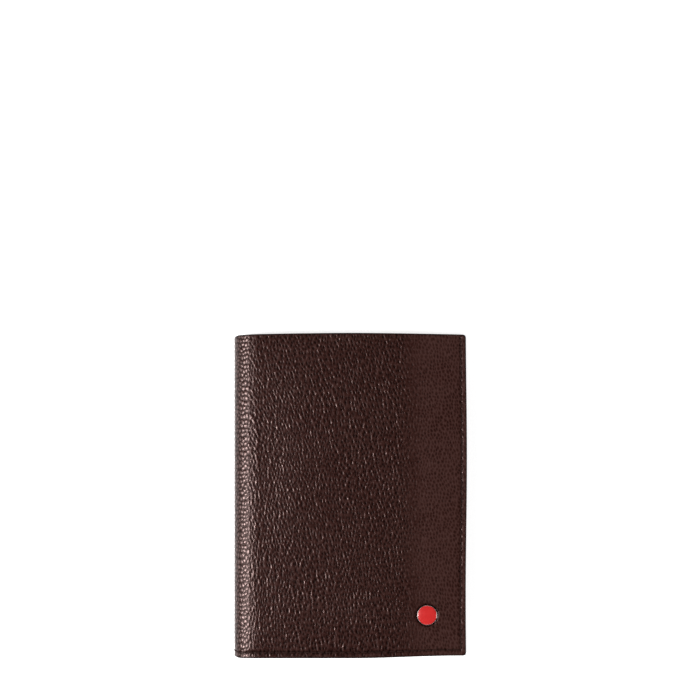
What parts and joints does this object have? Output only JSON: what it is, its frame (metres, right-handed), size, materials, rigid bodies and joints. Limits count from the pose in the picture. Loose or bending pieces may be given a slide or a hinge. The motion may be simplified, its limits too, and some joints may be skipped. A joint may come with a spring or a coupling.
{
  "type": "passport holder",
  "caption": "Bifold leather passport holder with a sewn outer cover, stepped card slots, a passport sleeve, an open-topped ticket pocket and a small enamel badge.",
  "frame": {"origin": "under the middle of the closed holder, on the back cover's outer face, which it lies on", "axes": "+X from the spine to the fore-edge, +Y from the foot to the head, +Z out of the front cover"},
  "size_m": [0.1, 0.14, 0.0154],
  "materials": {
    "outer_leather": "dark reddish brown pebbled grain, semi-matt",
    "inner_leather": "dark brown smooth fine grain, semi-matt",
    "lining_fabric": "dark brown twill",
    "cover_board": "matt grey-brown board",
    "seam_thread": "waxed dark brown polyester thread",
    "badge_metal": "polished nickel",
    "badge_enamel": "glossy red enamel"
  },
  "bodies": {
    "back_cover": {"back_leather": "outer_leather", "back_stiffener": "cover_board", "back_lining": "lining_fabric", "back_divider": "lining_fabric", "back_inner_panel": "inner_leather", "passport_sleeve": "inner_leather", "back_seam_needle_thread": "seam_thread", "back_seam_bobbin_thread": "seam_thread", "back_panel_spine_thread": "seam_thread", "sleeve_top_thread": "seam_thread"},
    "spine": {"spine_leather": "outer_leather", "spine_lining": "lining_fabric", "spine_divider": "lining_fabric", "spine_seam_needle_thread": "seam_thread", "spine_seam_bobbin_thread": "seam_thread"},
    "front_cover": {"front_leather": "outer_leather", "front_stiffener": "cover_board", "front_lining": "lining_fabric", "front_divider": "lining_fabric", "front_inner_panel": "inner_leather", "card_slot_upper": "inner_leather", "card_slot_middle": "inner_leather", "card_slot_lower": "inner_leather", "slot_thread_upper": "seam_thread", "slot_thread_middle": "seam_thread", "front_panel_spine_thread": "seam_thread", "front_seam_needle_thread": "seam_thread", "front_seam_bobbin_thread": "seam_thread", "badge_cup": "badge_metal", "badge_enamel": "badge_enamel", "badge_washer": "badge_metal"}
  },
  "joints": [
    {"name": "spine_fold", "type": "hinge", "parent": "back_cover", "child": "spine", "pos_m": [-0.04851, 0, 0.00149], "axis": [0, -1, 0], "range_deg": [0, 89.5]},
    {"name": "front_fold", "type": "hinge", "parent": "spine", "child": "front_cover", "pos_m": [-0.04851, 0, 0.01241], "axis": [0, -1, 0], "range_deg": [0, 89.5]}
  ],
  "couplings": [
    {"joint": "front_fold", "follows": "spine_fold", "ratio": 1}
  ]
}
